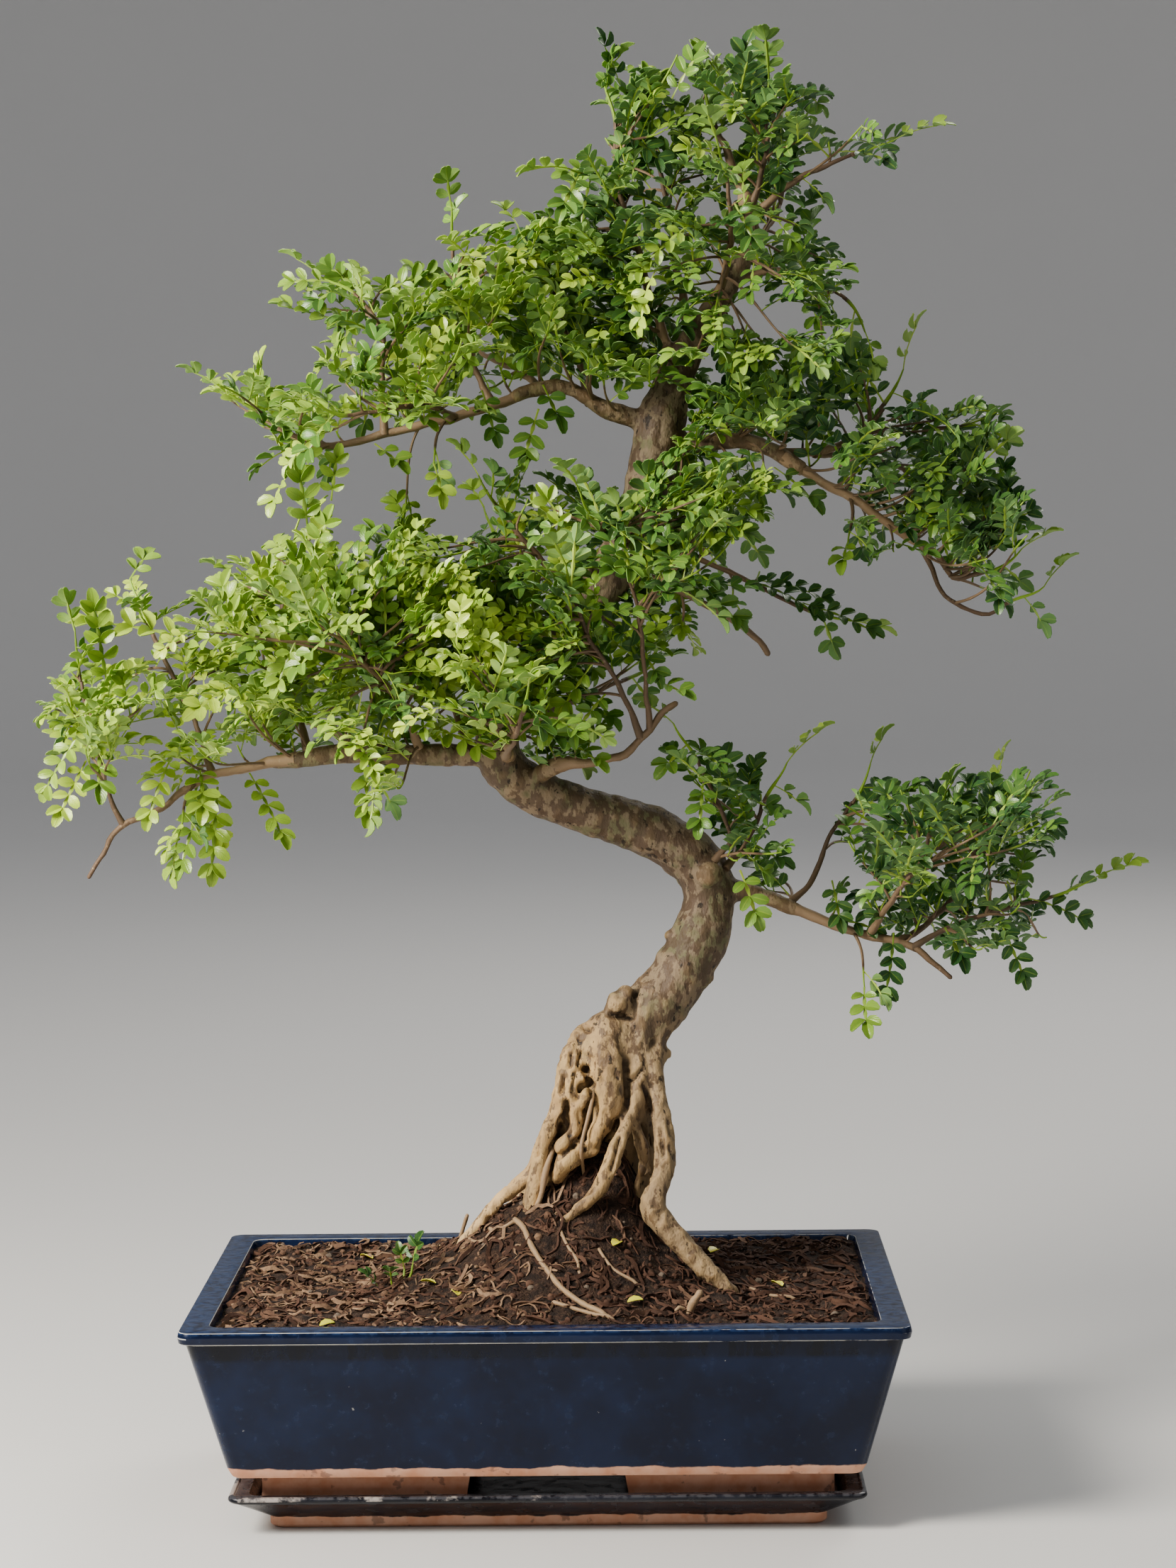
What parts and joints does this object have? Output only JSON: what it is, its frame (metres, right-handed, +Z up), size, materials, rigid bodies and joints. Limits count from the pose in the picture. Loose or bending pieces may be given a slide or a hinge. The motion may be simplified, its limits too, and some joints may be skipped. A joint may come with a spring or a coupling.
{
  "type": "potted bonsai tree",
  "caption": "Small trained pepper tree with a curving bare trunk, gripping roots and sprays of feathery compound leaves, in a soil-filled rectangular pot on a drip tray.",
  "frame": {"origin": "middle of the drip tray's flat underside, where the object stands", "axes": "+X along the pot, to the right as seen from the front; +Y to the back; +Z up along the tree"},
  "size_m": [0.4846, 0.252, 0.6245],
  "materials": {
    "pot_glaze": "gloss",
    "tray_glaze": "satin",
    "soil": "matte",
    "bark": "matte",
    "dead_wood": "matte",
    "leaf": "satin"
  },
  "bodies": {
    "root": {"pot": "pot_glaze", "drip_tray": "tray_glaze", "soil": "soil", "tree": "bark", "dry_twig": "dead_wood", "root_end": "dead_wood", "seedling": "leaf", "spray_lower_left_01": "leaf", "spray_lower_left_02": "leaf", "spray_lower_left_03": "leaf", "spray_lower_left_04": "leaf", "spray_lower_left_05": "leaf", "spray_lower_left_06": "leaf", "spray_lower_left_07": "leaf", "spray_lower_left_08": "leaf", "spray_lower_left_09": "leaf", "spray_lower_left_10": "leaf", "spray_lower_left_11": "leaf", "spray_upper_left_01": "leaf", "spray_upper_left_02": "leaf", "spray_upper_left_03": "leaf", "spray_upper_left_04": "leaf", "spray_upper_left_05": "leaf", "spray_upper_left_06": "leaf", "spray_upper_left_07": "leaf", "spray_upper_left_08": "leaf", "spray_upper_left_09": "leaf", "spray_upper_left_10": "leaf", "spray_apex_01": "leaf", "spray_apex_02": "leaf", "spray_apex_03": "leaf", "spray_apex_04": "leaf", "spray_apex_05": "leaf", "spray_apex_06": "leaf", "spray_apex_07": "leaf", "spray_apex_08": "leaf", "spray_apex_09": "leaf", "spray_upper_right_01": "leaf", "spray_upper_right_02": "leaf", "spray_upper_right_03": "leaf", "spray_upper_right_04": "leaf", "spray_upper_right_05": "leaf", "spray_upper_right_06": "leaf", "spray_lower_right_01": "leaf", "spray_lower_right_02": "leaf", "spray_lower_right_03": "leaf", "spray_lower_right_04": "leaf", "spray_lower_right_05": "leaf", "spray_middle_01": "leaf", "spray_middle_02": "leaf", "spray_middle_03": "leaf", "spray_middle_04": "leaf", "spray_middle_05": "leaf", "spray_middle_06": "leaf", "spray_middle_07": "leaf", "spray_middle_08": "leaf", "spray_middle_09": "leaf", "spray_elbow_01": "leaf", "spray_elbow_02": "leaf"}
  },
  "joints": []
}
